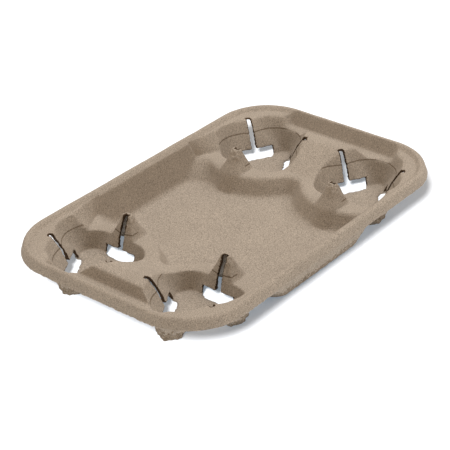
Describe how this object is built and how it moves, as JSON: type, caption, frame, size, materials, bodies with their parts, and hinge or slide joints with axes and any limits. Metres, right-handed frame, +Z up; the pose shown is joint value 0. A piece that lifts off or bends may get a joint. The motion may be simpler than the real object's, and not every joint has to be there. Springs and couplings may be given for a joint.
{
  "type": "cup carrier tray",
  "caption": "Moulded-fibre tray that grips drinks cups in ribbed pockets at both ends, with a flat food well between them.",
  "frame": {"origin": "middle of the tray, on the plane it stands on", "axes": "+X along the length, +Y across the width, +Z up out of the pockets"},
  "size_m": [0.367, 0.231, 0.04],
  "materials": {
    "moulded_fibre": "matt, softly speckled grey-brown pressed fibre"
  },
  "bodies": {
    "root": {"cup_carrier": "moulded_fibre"}
  },
  "joints": []
}
